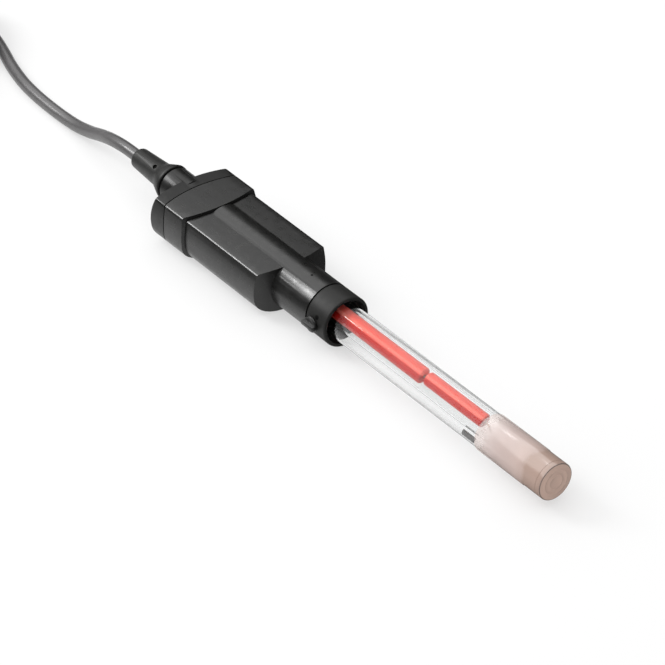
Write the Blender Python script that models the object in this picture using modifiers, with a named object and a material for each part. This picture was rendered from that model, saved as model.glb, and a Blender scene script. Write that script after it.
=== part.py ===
"""pH electrode: a moulded head on a cable, and a glass shaft with a soft cap over its tip.

The electrode lies on its belly along the X axis, tip towards +X, with the floor at Z = 0.
Lengths along the shaft are measured from the front face of the head's neck.
"""
import bpy
import bmesh
import math
from mathutils import Vector

MM = 0.001
TAU = 2 * math.pi

# Clearances
FIT_GAP = 0.3 * MM          # air between two pieces that touch
SLIDE_GAP = 0.17 * MM       # air between a piece and the bore that it slides in
CAP_GAP = 0.1 * MM          # air between the soft cap and the glass

# Head, seen from above: neck, wings, band and rear cover
AXIS_HEIGHT = 8.6 * MM      # electrode axis above the floor
NECK_RADIUS = 8.38 * MM
NECK_LENGTH = 16.4 * MM     # neck in front of the wings
WING_LENGTH = 36.95 * MM    # wings between the neck and the band, at the middle
WING_TOP = 7.25 * MM        # outer edge of the wings' top above the axis
WING_CROWN = 0.3 * MM       # how far the top rises towards the middle
WING_TOP_HALF = 12.9 * MM
WING_HALF_WIDTH = 13.7 * MM
WING_BELLY = 8.3 * MM       # depth of the wings under the axis
WING_END_BOW = 2.3 * MM     # how far the middle of the wing ends stands forward
BAND_LENGTH = 13.1 * MM
BAND_TOP = 8.2 * MM
BAND_CROWN = 0.25 * MM
BAND_BULGE = 1.1 * MM       # the band's front face stands forward at half its height
BAND_TOP_HALF = 13.9 * MM
BAND_HALF_WIDTH = 14.7 * MM
BAND_FRONT_BOW = 2.6 * MM
BAND_REAR_BOW = 2.4 * MM
EDGE_FILLET = 1.15 * MM
BELLY_POWER = 3.0           # squareness of the rounded belly
BELLY_FLAT = 0.12 * MM      # shaved off the belly so that it lies flat
COVER_LENGTH = 4.75 * MM    # at the top
COVER_REAR_BOW = 2.8 * MM
COVER_BULGE = 2.2 * MM      # the cover's rear face stands back at half its height
SEAM_GAP = 0.35 * MM        # visible parting line between band and cover

# Spigot of the head body that the band sits on, and the chamber inside
SPIGOT_HALF_WIDTH = 11.6 * MM
SPIGOT_HALF_HEIGHT = 6.3 * MM
SPIGOT_ROUND = 2.5 * MM
SPIGOT_SET_BACK = 2.0 * MM  # spigot end in front of the cover
CHAMBER_WIDTH = 18.0 * MM
CHAMBER_HEIGHT = 9.0 * MM
CHAMBER_END = 6.0 * MM      # solid wall between chamber and shaft socket
BOARD_LENGTH = 40.0 * MM
BOARD_THICKNESS = 1.2 * MM
CONTACTS_WIDTH = 10.0 * MM
LEAD_BORE = 2.6 * MM        # radius of the hole between chamber and socket
SOCKET_DEPTH = 14.0 * MM    # how far the glass goes into the neck
SHAFT_CLEARANCE = 0.3 * MM  # radial clearance of the glass in the head

# Cable gland, on its own axis above the electrode axis
GLAND_RISE = 2.7 * MM
GLAND_NECK_RADIUS = 6.0 * MM
GLAND_NECK_LENGTH = 7.45 * MM
GLAND_ROOT_LENGTH = 0.7 * MM    # narrower last part of that neck, a groove in front of the flange
GLAND_ROOT_RADIUS = 5.3 * MM
FLANGE_RADIUS = 6.15 * MM
FLANGE_RIM = 0.9 * MM
BOOT_CONE_LENGTH = 5.05 * MM
BOOT_FRONT_RADIUS = 4.15 * MM
BOOT_REAR_RADIUS = 3.5 * MM
BOOT_LENGTH = 18.7 * MM     # flange and boot together
BOOT_ROUND = 0.9 * MM
BOOT_SPIGOT_RADIUS = 3.6 * MM
BOOT_SPIGOT_LENGTH = 4.0 * MM
BOOT_HOLE_RADIUS = 0.75 * MM
BOOT_HOLE_DEPTH = 1.2 * MM
BOOT_HOLE_ANGLE = math.radians(30)   # from straight up towards -Y
CABLE_RADIUS = 2.1 * MM

# Collar and filling-hole stopper
COLLAR_LENGTH = 9.4 * MM
COLLAR_RADIUS = 8.45 * MM
COLLAR_RECESS_RADIUS = 7.35 * MM
COLLAR_RECESS_DEPTH = 4.6 * MM
COLLAR_EDGE = 0.5 * MM
STOPPER_X = 3.6 * MM
STOPPER_HOLE_RADIUS = 1.5 * MM
STOPPER_FLANGE_RADIUS = 2.7 * MM
STOPPER_FLANGE_THICKNESS = 0.8 * MM
STOPPER_TAB = (5.6 * MM, 1.3 * MM, 1.5 * MM)   # length, height out of the collar, width

# Glass shaft
SHAFT_RADIUS = 5.95 * MM
SHAFT_WALL = 0.9 * MM
SHAFT_LENGTH = 98.5 * MM    # in front of the neck
SHAFT_MOUTH_RADIUS = 4.4 * MM   # the tube is drawn in to this radius at its end
FILL_PORT_RADIUS = 1.1 * MM
STEM_RISE = 1.2 * MM        # the stem is fused in a little above the middle
STEM_RADIUS = 3.6 * MM
STEM_WALL = 0.45 * MM
STEM_INSET = 2.3 * MM       # rear end of the stem in front of the outer tube's
STEM_TAPER_LENGTH = 4.0 * MM
STEM_TIP_RADIUS = 2.6 * MM
BULB_RADIUS = 3.1 * MM
BULB_WALL = 0.5 * MM
ROD_START = -6.0 * MM
UPPER_ROD_END = 47.6 * MM
UPPER_ROD_RADIUS = 2.4 * MM
LOWER_ROD_START = 49.0 * MM
LOWER_ROD_END = 75.7 * MM
LOWER_ROD_RADIUS = 2.0 * MM
ROD_BORE = 0.7 * MM
ROD_ROUND = 0.8 * MM
WIRE_RADIUS = 0.25 * MM
JUNCTION_X = 72.5 * MM
JUNCTION_RADIUS = 0.65 * MM
JUNCTION_LENGTH = 5.4 * MM

# Soft cap over the tip
CAP_LENGTH = 29.1 * MM
CAP_NOSE = 7.65 * MM          # in front of the glass
CAP_END = SHAFT_LENGTH + CAP_NOSE
CAP_WALL = 0.2 * MM
CAP_STEP = 0.14 * MM
CAP_STEP_X = CAP_END - 8.75 * MM
CAP_CHAMFER = 0.35 * MM
CAP_LINE_X = CAP_END - 2.05 * MM    # fine line round the closed end
CAP_LINE = 0.1 * MM
CAP_FLOOR = 2.2 * MM
CAP_RING_RADII = (2.3 * MM, 4.1 * MM)
CAP_RING_HEIGHT = 0.18 * MM

# Cable, its coil and the plug
COIL_CENTRE = Vector((-219.0, -10.5, 0.0)) * MM
COIL_MEAN_RADIUS = 21.0 * MM
COIL_TURNS_WIDE = 2
COIL_TURNS_HIGH = 3
LAST_TURN_RADIUS = 18.85 * MM       # the part turn that lies on top of the coil
LAST_TURN = (5, 150)                # where it starts and ends, in degrees
PLUG_PLACE = (4.0 * MM, -17.0 * MM)    # middle of the plug, from the coil's
PLUG_RADIUS = 7.2 * MM
PLUG_GRIP_LENGTH = 20.0 * MM
PLUG_SLEEVE_RADIUS = 6.4 * MM
PLUG_SLEEVE_WALL = 0.6 * MM
PLUG_SLEEVE_LENGTH = 10.0 * MM
PLUG_BOOT_LENGTH = 12.0 * MM
PLUG_BOOT_RADIUS = 4.2 * MM
PLUG_BOOT_TIP = 3.0 * MM
PLUG_RIBS = 9
PIN_RADIUS = 0.6 * MM
PIN_LENGTH = 7.0 * MM
PIN_CIRCLE = 3.3 * MM
PIN_COUNT = 5
PIN_SPREAD = math.radians(240)

ROUND_STEPS = 40
FINE_STEPS = 48

# Places that follow from the sizes above, along the electrode axis
WING_FRONT_X = -NECK_LENGTH
BAND_FRONT_X = WING_FRONT_X - WING_LENGTH
BAND_REAR_X = BAND_FRONT_X - BAND_LENGTH
COVER_FRONT_X = BAND_REAR_X - SEAM_GAP
COVER_REAR_X = COVER_FRONT_X - COVER_LENGTH
GLAND_END_X = COVER_REAR_X - GLAND_NECK_LENGTH
FLANGE_X = GLAND_END_X - FIT_GAP
BOOT_END_X = FLANGE_X - BOOT_LENGTH
SOCKET_RADIUS = SHAFT_RADIUS + SHAFT_CLEARANCE
SPIGOT_REAR_X = COVER_FRONT_X + SPIGOT_SET_BACK
CHAMBER_FRONT_X = -SOCKET_DEPTH - CHAMBER_END
NECK_FACE_X = -(CAP_END + BOOT_END_X) / 2      # world X of the neck's front face

PART = "ph_electrode"


def clear_scene():
    for item in list(bpy.data.objects):
        bpy.data.objects.remove(item, do_unlink=True)


def make_collection(name):
    group = bpy.data.collections.new(name)
    bpy.context.scene.collection.children.link(group)
    return group


def make_material(name, colour, roughness, metallic=0.0, transmission=0.0, alpha=1.0):
    mat = bpy.data.materials.new(name)
    mat.use_nodes = True
    shader = mat.node_tree.nodes["Principled BSDF"]
    shader.inputs["Base Color"].default_value = (*colour, 1.0)
    shader.inputs["Roughness"].default_value = roughness
    shader.inputs["Metallic"].default_value = metallic
    shader.inputs["Transmission Weight"].default_value = transmission
    shader.inputs["Alpha"].default_value = alpha
    return mat


def add_object(name, data, group, parent=None, location=(0, 0, 0), rotation=(0, 0, 0)):
    item = bpy.data.objects.new(name, data)
    group.objects.link(item)
    item.location = location
    item.rotation_euler = rotation
    item.parent = parent
    return item


def finish(item, mat):
    """Give a piece its material and smooth shading between its sharp edges."""
    item.data.materials.clear()
    item.data.materials.append(mat)
    if isinstance(item.data, bpy.types.Mesh):
        item.data.shade_smooth()
        item.data.set_sharp_from_angle(angle=math.radians(32))
    return item


def arc(centre, radius, start, end, steps):
    """Points on an arc, angles in degrees."""
    points = []
    for i in range(steps + 1):
        angle = math.radians(start + (end - start) * i / steps)
        points.append((centre[0] + radius * math.cos(angle), centre[1] + radius * math.sin(angle)))
    return points


def turned(name, profile, closed, group, parent, location=(0, 0, 0), steps=ROUND_STEPS,
           rotation=(0, math.pi / 2, 0)):
    """A solid turned about its own Z axis, which the default rotation lays along X.

    The profile holds (radius, height) points, down its outer side; height runs towards the tip.
    """
    mesh = bpy.data.meshes.new(name)
    verts = [(r, 0.0, h) for r, h in profile]
    edges = [(i, i + 1) for i in range(len(verts) - 1)]
    if closed:
        edges.append((len(verts) - 1, 0))
    mesh.from_pydata(verts, edges, [])
    item = add_object(name, mesh, group, parent, location, rotation)
    screw = item.modifiers.new("turn", "SCREW")
    screw.axis = "Z"
    screw.steps = steps
    screw.render_steps = steps
    screw.use_merge_vertices = True
    screw.merge_threshold = 0.00001
    screw.use_smooth_shade = True
    return item


def curve_to_mesh(item, weld=0.00002):
    """Replace a curve object by a mesh with its caps welded on."""
    bpy.context.view_layer.update()
    graph = bpy.context.evaluated_depsgraph_get()
    mesh = bpy.data.meshes.new_from_object(item.evaluated_get(graph))
    build = bmesh.new()
    build.from_mesh(mesh)
    bmesh.ops.remove_doubles(build, verts=build.verts, dist=weld)
    bmesh.ops.recalc_face_normals(build, faces=build.faces)
    build.to_mesh(mesh)
    build.free()
    name, group, parent = item.name, item.users_collection[0], item.parent
    location, rotation = item.location.copy(), item.rotation_euler.copy()
    bpy.data.objects.remove(item, do_unlink=True)
    solid = add_object(name, mesh, group, parent, location, rotation)
    mesh.name = name
    return solid


def outline_solid(name, outline, x0, x1, group, parent, centre=(0.0, 0.0)):
    """A flat outline of (y, z) points, extruded along X from x0 to x1."""
    curve = bpy.data.curves.new(name, "CURVE")
    curve.dimensions = "2D"
    curve.fill_mode = "BOTH"
    curve.extrude = (x1 - x0) / 2
    spline = curve.splines.new("POLY")
    spline.points.add(len(outline) - 1)
    for point, (y, z) in zip(spline.points, outline):
        point.co = (-z, y, 0.0, 1.0)
    spline.use_cyclic_u = True
    item = add_object(name, curve, group, parent, ((x0 + x1) / 2, centre[0], centre[1]),
                      (0, math.pi / 2, 0))
    return curve_to_mesh(item)


def tube(name, points, radius, group, parent, resolution=3):
    """A round tube along a list of points, with closed ends."""
    curve = bpy.data.curves.new(name, "CURVE")
    curve.dimensions = "3D"
    curve.bevel_depth = radius
    curve.bevel_resolution = resolution
    curve.use_fill_caps = True
    spline = curve.splines.new("POLY")
    spline.points.add(len(points) - 1)
    for point, place in zip(spline.points, points):
        point.co = (*place, 1.0)
    return add_object(name, curve, group, parent)


def box(name, size, location, group, parent, bevel=0.0, rotation=(0, 0, 0)):
    mesh = bpy.data.meshes.new(name)
    build = bmesh.new()
    bmesh.ops.create_cube(build, size=1.0)
    bmesh.ops.scale(build, vec=size, verts=build.verts)
    build.to_mesh(mesh)
    build.free()
    item = add_object(name, mesh, group, parent, location, rotation)
    if bevel:
        rounding = item.modifiers.new("edges", "BEVEL")
        rounding.width = bevel
        rounding.segments = 2
    return item


def cylinder(name, radius, depth, location, rotation, group, parent, segments=ROUND_STEPS):
    mesh = bpy.data.meshes.new(name)
    build = bmesh.new()
    bmesh.ops.create_cone(build, cap_ends=True, segments=segments, radius1=radius, radius2=radius,
                          depth=depth)
    build.to_mesh(mesh)
    build.free()
    return add_object(name, mesh, group, parent, location, rotation)


def combine(item, other, operation):
    change = item.modifiers.new(operation.lower(), "BOOLEAN")
    change.operation = operation
    change.solver = "EXACT"
    change.object = other
    other.hide_render = True
    other.display_type = "WIRE"
    return change


def head_section(top, crown, top_half, half_width, belly, fillet=EDGE_FILLET):
    """Outline of the head: crowned top, crisp top edges, bulged sides and a rounded belly."""
    half = []
    corner = top_half - fillet
    crown_steps = 4
    for i in range(crown_steps):
        y = corner * i / crown_steps
        half.append((y, top + crown * (1 - (y / corner) ** 2)))
    half += arc((top_half - fillet, top - fillet), fillet, 90, 0, 4)
    side_steps = 4
    for i in range(1, side_steps + 1):
        share = i / side_steps
        half.append((top_half + (half_width - top_half) * math.sin(share * math.pi / 2),
                     (top - fillet) * (1 - share)))
    belly_steps = 9
    for i in range(1, belly_steps + 1):
        angle = math.pi / 2 * i / belly_steps
        y = half_width * math.cos(angle) ** (2 / BELLY_POWER)
        z = -belly * math.sin(angle) ** (2 / BELLY_POWER)
        half.append((y, max(z, -belly + BELLY_FLAT)))
    # the middle point and the shaved points next to it lie on one straight line
    half = [p for p in half if p[0] > 0.0005 or p[1] > 0]
    flat = [p for p in half if p[1] <= -belly + BELLY_FLAT + 1e-7]
    half = [p for p in half if p not in flat[1:]]
    return half + [(-y, z) for y, z in reversed(half[1:])]


def round_rectangle(half_width, half_height, radius, steps=3):
    points = []
    for sy, sz, start in ((1, 1, 0), (-1, 1, 90), (-1, -1, 180), (1, -1, 270)):
        centre = (sy * (half_width - radius), sz * (half_height - radius))
        points += arc(centre, radius, start, start + 90, steps)
    return points


def bow_radius(half_width, bow):
    """Radius of the arc that stands forward by bow over this half width."""
    return (half_width ** 2 + bow ** 2) / (2 * bow)


def bow_cutter(name, tip_x, forward, half_width, bow, group, parent, offset=0.0, bulge=0.0):
    """An upright barrel whose side is the bowed end of a head piece.

    forward is 1 where the bow points at the shaft's tip and -1 where it points at the cable.
    tip_x is where the middle of that end is at the top of the piece, and bulge is how far it
    stands out from there at half its height.
    """
    radius = bow_radius(half_width, bow)
    centre = (tip_x - forward * radius, 0, 0)
    reach = 2 * AXIS_HEIGHT
    if not bulge:
        return cylinder(name, radius + offset, 2 * reach, centre, (0, 0, 0), group, parent, segments=128)
    steps = 12
    side = []
    for i in range(steps + 1):
        height = AXIS_HEIGHT * (1 - 2 * i / steps)
        side.append((radius + offset + bulge * (1 - (height / AXIS_HEIGHT) ** 2), height))
    profile = [(0, reach), (radius + offset, reach)] + side + [(radius + offset, -reach), (0, -reach)]
    return turned(name, profile, False, group, parent, location=centre, steps=128, rotation=(0, 0, 0))


def build_head_body(group, cutters, axis, mat):
    """Wings, central cylinder and neck in one moulding, with a spigot for the band."""
    wings = head_section(WING_TOP, WING_CROWN, WING_TOP_HALF, WING_HALF_WIDTH, WING_BELLY)
    overlap = 4 * MM
    body = outline_solid("head_body", wings, BAND_FRONT_X - BAND_FRONT_BOW - overlap,
                         WING_FRONT_X + MM, group, axis)
    combine(body, bow_cutter("wing_end_bow", WING_FRONT_X, 1, WING_HALF_WIDTH, WING_END_BOW,
                             cutters, axis), "INTERSECT")
    neck_rear = BAND_FRONT_X - overlap
    neck = cylinder("neck_core", NECK_RADIUS, -neck_rear, (neck_rear / 2, 0, 0),
                    (0, math.pi / 2, 0), cutters, axis, segments=64)
    combine(body, neck, "UNION")
    combine(body, bow_cutter("band_seat_bow", BAND_FRONT_X, 1, BAND_HALF_WIDTH, BAND_FRONT_BOW,
                             cutters, axis, offset=FIT_GAP, bulge=BAND_BULGE), "DIFFERENCE")
    spigot = outline_solid("spigot_core",
                           round_rectangle(SPIGOT_HALF_WIDTH, SPIGOT_HALF_HEIGHT, SPIGOT_ROUND),
                           SPIGOT_REAR_X, BAND_FRONT_X + 2 * MM, cutters, axis)
    combine(body, spigot, "UNION")
    chamber_length = CHAMBER_FRONT_X - SPIGOT_REAR_X + MM
    chamber = box("chamber_cut", (chamber_length, CHAMBER_WIDTH, CHAMBER_HEIGHT),
                  (CHAMBER_FRONT_X - chamber_length / 2, 0, 0), cutters, axis)
    combine(body, chamber, "DIFFERENCE")
    socket = turned("socket_cut", [
        (0, MM), (SOCKET_RADIUS, MM),
        (SOCKET_RADIUS, -SOCKET_DEPTH - FIT_GAP), (LEAD_BORE, -SOCKET_DEPTH - FIT_GAP),
        (LEAD_BORE, CHAMBER_FRONT_X - MM), (0, CHAMBER_FRONT_X - MM)], False, cutters, axis)
    combine(body, socket, "DIFFERENCE")
    return finish(body, mat)


def build_band(group, cutters, axis, mat):
    """Raised band round the head, wider at the middle than at its edges."""
    outer = head_section(BAND_TOP, BAND_CROWN, BAND_TOP_HALF, BAND_HALF_WIDTH, AXIS_HEIGHT + BELLY_FLAT)
    band = outline_solid("head_band", outer, BAND_REAR_X - MM, BAND_FRONT_X + BAND_BULGE + MM,
                         group, axis)
    combine(band, bow_cutter("band_front_bow", BAND_FRONT_X, 1, BAND_HALF_WIDTH, BAND_FRONT_BOW,
                             cutters, axis, bulge=BAND_BULGE), "INTERSECT")
    combine(band, bow_cutter("band_rear_bow", BAND_REAR_X, -1, BAND_HALF_WIDTH, BAND_REAR_BOW,
                             cutters, axis), "INTERSECT")
    seat = outline_solid("band_bore", round_rectangle(SPIGOT_HALF_WIDTH + FIT_GAP,
                                                      SPIGOT_HALF_HEIGHT + FIT_GAP, SPIGOT_ROUND),
                         BAND_REAR_X - 2 * MM, BAND_FRONT_X + 2 * MM, cutters, axis)
    combine(band, seat, "DIFFERENCE")
    return finish(band, mat)


def build_rear_cover(group, cutters, axis, mat):
    """End cover of the head with the round neck of the cable gland."""
    outer = head_section(BAND_TOP, BAND_CROWN, BAND_TOP_HALF, BAND_HALF_WIDTH, AXIS_HEIGHT + BELLY_FLAT)
    front = COVER_FRONT_X + BAND_REAR_BOW + MM
    cover = outline_solid("rear_cover", outer, COVER_REAR_X - COVER_BULGE - MM, front, group, axis)
    combine(cover, bow_cutter("cover_rear_bow", COVER_REAR_X, -1, BAND_HALF_WIDTH, COVER_REAR_BOW,
                              cutters, axis, bulge=COVER_BULGE), "INTERSECT")
    seam = bow_cutter("cover_seam", BAND_REAR_X, -1, BAND_HALF_WIDTH, BAND_REAR_BOW,
                      cutters, axis, offset=SEAM_GAP)
    combine(cover, seam, "DIFFERENCE")
    neck_rear = GLAND_END_X + GLAND_ROOT_LENGTH
    for name, radius, rear in (("gland_neck_core", GLAND_NECK_RADIUS, neck_rear),
                               ("gland_root", GLAND_ROOT_RADIUS, GLAND_END_X)):
        length = COVER_REAR_X + COVER_LENGTH / 2 - rear
        core = cylinder(name, radius, length, (rear + length / 2, 0, GLAND_RISE),
                        (0, math.pi / 2, 0), cutters, axis, segments=64)
        combine(cover, core, "UNION")
    bore_length = COVER_FRONT_X - GLAND_END_X + 2 * MM
    bore = cylinder("gland_bore", BOOT_SPIGOT_RADIUS + FIT_GAP, bore_length,
                    (GLAND_END_X - MM + bore_length / 2, 0, GLAND_RISE), (0, math.pi / 2, 0),
                    cutters, axis)
    combine(cover, bore, "DIFFERENCE")
    return finish(cover, mat)


def build_boot(group, cutters, gland, mat):
    """Soft cable boot: flange, cone and tapered sleeve, with a spigot in the gland."""
    cable_bore = CABLE_RADIUS + FIT_GAP
    neck_x = FLANGE_X
    cone_x = neck_x - FLANGE_RIM - BOOT_CONE_LENGTH
    end = BOOT_END_X
    profile = [(cable_bore, neck_x + BOOT_SPIGOT_LENGTH),
               (BOOT_SPIGOT_RADIUS, neck_x + BOOT_SPIGOT_LENGTH),
               (BOOT_SPIGOT_RADIUS, neck_x),
               (FLANGE_RADIUS - 0.3 * MM, neck_x),
               (FLANGE_RADIUS, neck_x - 0.3 * MM),
               (FLANGE_RADIUS, neck_x - FLANGE_RIM),
               (BOOT_FRONT_RADIUS + 0.6 * MM, cone_x + 1.6 * MM),
               (BOOT_FRONT_RADIUS, cone_x)]
    profile += [(r, h) for r, h in arc((BOOT_REAR_RADIUS - BOOT_ROUND, end + BOOT_ROUND),
                                       BOOT_ROUND, 0, -90, 4)]
    profile += [(cable_bore, end)]
    boot = turned("cable_boot", profile, True, group, gland)
    direction = Vector((0, -math.sin(BOOT_HOLE_ANGLE), math.cos(BOOT_HOLE_ANGLE)))
    hole_centre = direction * (BOOT_FRONT_RADIUS - BOOT_HOLE_DEPTH / 2 + 0.5 * MM)
    hole = cylinder("boot_hole", BOOT_HOLE_RADIUS, BOOT_HOLE_DEPTH + MM,
                    (cone_x - 1.2 * MM, hole_centre.y, hole_centre.z),
                    direction.to_track_quat("Z", "Y").to_euler(), cutters, gland, segments=16)
    combine(boot, hole, "DIFFERENCE")
    return finish(boot, mat)


def build_cable_end(group, gland, jacket_mat, metal_mat):
    """The cable inside the boot and gland, with the crimp that keeps it from pulling out."""
    crimp_length = 3.0 * MM
    crimp_rear = FLANGE_X + BOOT_SPIGOT_LENGTH + FIT_GAP
    crimp_front = crimp_rear + crimp_length
    jacket = cylinder("cable_core", CABLE_RADIUS, crimp_front - BOOT_END_X,
                      ((crimp_front + BOOT_END_X) / 2, 0, 0), (0, math.pi / 2, 0), group, gland,
                      segments=24)
    finish(jacket, jacket_mat)
    inner = CABLE_RADIUS + SLIDE_GAP
    crimp = turned("cable_crimp", [(inner, crimp_front), (BOOT_SPIGOT_RADIUS, crimp_front),
                                   (BOOT_SPIGOT_RADIUS, crimp_rear), (inner, crimp_rear)],
                   True, group, gland, steps=32)
    finish(crimp, metal_mat)


def build_electronics(group, axis, board_mat, chip_mat, metal_mat):
    """Circuit board in the chamber, its chips, its contact strip and the two signal leads."""
    board_x = CHAMBER_FRONT_X - FIT_GAP - BOARD_LENGTH / 2
    board_z = -CHAMBER_HEIGHT / 2 + FIT_GAP + BOARD_THICKNESS / 2
    board = box("circuit_board", (BOARD_LENGTH, CHAMBER_WIDTH - 2 * FIT_GAP, BOARD_THICKNESS),
                (board_x, 0, board_z), group, axis)
    finish(board, board_mat)
    deck = board_z + BOARD_THICKNESS / 2 + FIT_GAP
    chips = (("amplifier_chip", (5.0, 4.4, 1.4), 8.0, 2.6), ("memory_chip", (4.4, 4.4, 1.2), -4.0, -3.0),
             ("regulator_chip", (3.2, 3.0, 1.3), -10.0, 4.0))
    for name, size, dx, y in chips:
        size = [v * MM for v in size]
        chip = box(name, size, (board_x + dx * MM, y * MM, deck + size[2] / 2), group, axis)
        finish(chip, chip_mat)
    strip = box("board_contacts", (2.6 * MM, CONTACTS_WIDTH, 2.4 * MM),
                (board_x - BOARD_LENGTH / 2 + 2.2 * MM, 0, deck + 1.2 * MM), group, axis)
    finish(strip, metal_mat)
    lead_radius = 0.5 * MM
    start_x = CHAMBER_FRONT_X - 3.0 * MM
    leads = (("glass_lead", 0.9 * MM), ("reference_lead", -0.9 * MM))
    for name, y in leads:
        points = [(start_x, y, deck + lead_radius), (start_x + 1.6 * MM, y, deck + lead_radius + 0.8 * MM),
                  (CHAMBER_FRONT_X, y, -0.4 * MM), (-SOCKET_DEPTH - 2 * MM, y, 0.2 * MM),
                  (-SOCKET_DEPTH + 2.0 * MM, y, 0.4 * MM)]
        finish(tube(name, points, lead_radius, group, axis, resolution=2), metal_mat)


def build_collar(group, cutters, axis, mat):
    """Soft collar on the neck's front, a cup round the glass with the filling hole in its side."""
    rear = FIT_GAP
    front = COLLAR_LENGTH
    bore = SHAFT_RADIUS + SHAFT_CLEARANCE
    floor = front - COLLAR_RECESS_DEPTH
    profile = [(COLLAR_RECESS_RADIUS, front), (COLLAR_RADIUS - COLLAR_EDGE, front)]
    profile += arc((COLLAR_RADIUS - COLLAR_EDGE, front - COLLAR_EDGE), COLLAR_EDGE, 60, 0, 2)
    profile += [(NECK_RADIUS, rear + 0.4 * MM), (NECK_RADIUS - 0.25 * MM, rear), (bore, rear),
                (bore, floor), (COLLAR_RECESS_RADIUS - 0.4 * MM, floor),
                (COLLAR_RECESS_RADIUS, floor + 0.4 * MM)]
    collar = turned("shaft_collar", profile, True, group, axis, steps=FINE_STEPS)
    hole = cylinder("filling_hole_cut", STOPPER_HOLE_RADIUS + FIT_GAP, COLLAR_RADIUS,
                    (STOPPER_X, -COLLAR_RADIUS, 0), (math.pi / 2, 0, 0), cutters, axis, segments=24)
    combine(collar, hole, "DIFFERENCE")
    return finish(collar, mat)


def build_stopper(group, cutters, axis, mat):
    """Filling-hole stopper: plug, flange and a pull tab, on its own pull-out axis."""
    seat = COLLAR_RADIUS + SLIDE_GAP
    stem_length = COLLAR_RADIUS - SHAFT_RADIUS - 2 * FIT_GAP + SLIDE_GAP
    hub = bpy.data.objects.new("stopper_axis", None)
    group.objects.link(hub)
    hub.parent = axis
    hub.location = (STOPPER_X, -seat, 0)
    hub.rotation_euler = (math.pi / 2, 0, 0)       # local Z points out along -Y
    edge = 0.25 * MM
    flange = STOPPER_FLANGE_THICKNESS
    profile = [(0, flange), (STOPPER_FLANGE_RADIUS - edge, flange),
               (STOPPER_FLANGE_RADIUS, flange - edge), (STOPPER_FLANGE_RADIUS, edge),
               (STOPPER_FLANGE_RADIUS - edge, 0), (STOPPER_HOLE_RADIUS, 0),
               (STOPPER_HOLE_RADIUS, -stem_length), (0, -stem_length)]
    stopper = turned("filling_stopper", profile, False, group, hub, steps=28, rotation=(0, 0, 0))
    length, height, width = STOPPER_TAB
    tab = box("stopper_tab_core", (length, width, height + flange / 2),
              (0, 0, flange + height / 2 - flange / 4), cutters, hub, bevel=0.35 * MM)
    combine(stopper, tab, "UNION")
    return finish(stopper, mat)


def build_shaft(group, cutters, axis, mat):
    """Outer glass tube, drawn in at the tip, with the filling port under the collar."""
    rear = -SOCKET_DEPTH
    inner = SHAFT_RADIUS - SHAFT_WALL
    end = SHAFT_LENGTH
    shoulder = SHAFT_RADIUS - SHAFT_MOUTH_RADIUS
    profile = [(SHAFT_MOUTH_RADIUS, end)]
    profile += arc((SHAFT_RADIUS - shoulder, end - shoulder), shoulder, 75, 0, 5)
    profile += [(SHAFT_RADIUS, rear), (inner, rear), (inner, end - shoulder)]
    profile += [(SHAFT_MOUTH_RADIUS, end - SHAFT_WALL)]
    shaft = turned("shaft_glass", profile, True, group, axis, steps=FINE_STEPS)
    port = cylinder("filling_port_cut", FILL_PORT_RADIUS, SHAFT_RADIUS,
                    (STOPPER_X, -SHAFT_RADIUS, 0), (math.pi / 2, 0, 0), cutters, axis, segments=20)
    combine(shaft, port, "DIFFERENCE")
    return finish(shaft, mat)


def build_stem(group, stem_axis, mat, membrane_mat):
    """Inner glass stem, necked down at the tip, and the thin glass bulb on its end."""
    rear = -SOCKET_DEPTH + STEM_INSET
    inner = STEM_RADIUS - STEM_WALL
    tip_inner = STEM_TIP_RADIUS - STEM_WALL
    end = SHAFT_LENGTH - 1.0 * MM
    taper = end - STEM_TAPER_LENGTH
    profile = [(tip_inner, end), (STEM_TIP_RADIUS, end), (STEM_TIP_RADIUS, taper + 2.4 * MM),
               (STEM_RADIUS, taper), (STEM_RADIUS, rear), (inner, rear), (inner, taper),
               (tip_inner, taper + 2.4 * MM)]
    finish(turned("inner_stem", profile, True, group, stem_axis), mat)
    top = end + FIT_GAP
    centre = top + BULB_RADIUS * 0.55
    outer_start = math.degrees(math.acos(min(1.0, STEM_TIP_RADIUS / BULB_RADIUS)))
    bulb = [(r, centre + h) for r, h in arc((0, 0), BULB_RADIUS, 90, -outer_start, 10)]
    bulb_inner = BULB_RADIUS - BULB_WALL
    hollow = arc((0, 0), bulb_inner, -outer_start, 90, 10)
    bulb += [(r, centre + h) for r, h in hollow]
    bulb[0] = (0.0, centre + BULB_RADIUS)
    bulb[-1] = (0.0, centre + bulb_inner)
    finish(turned("sensing_bulb", bulb, False, group, stem_axis), membrane_mat)


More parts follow.
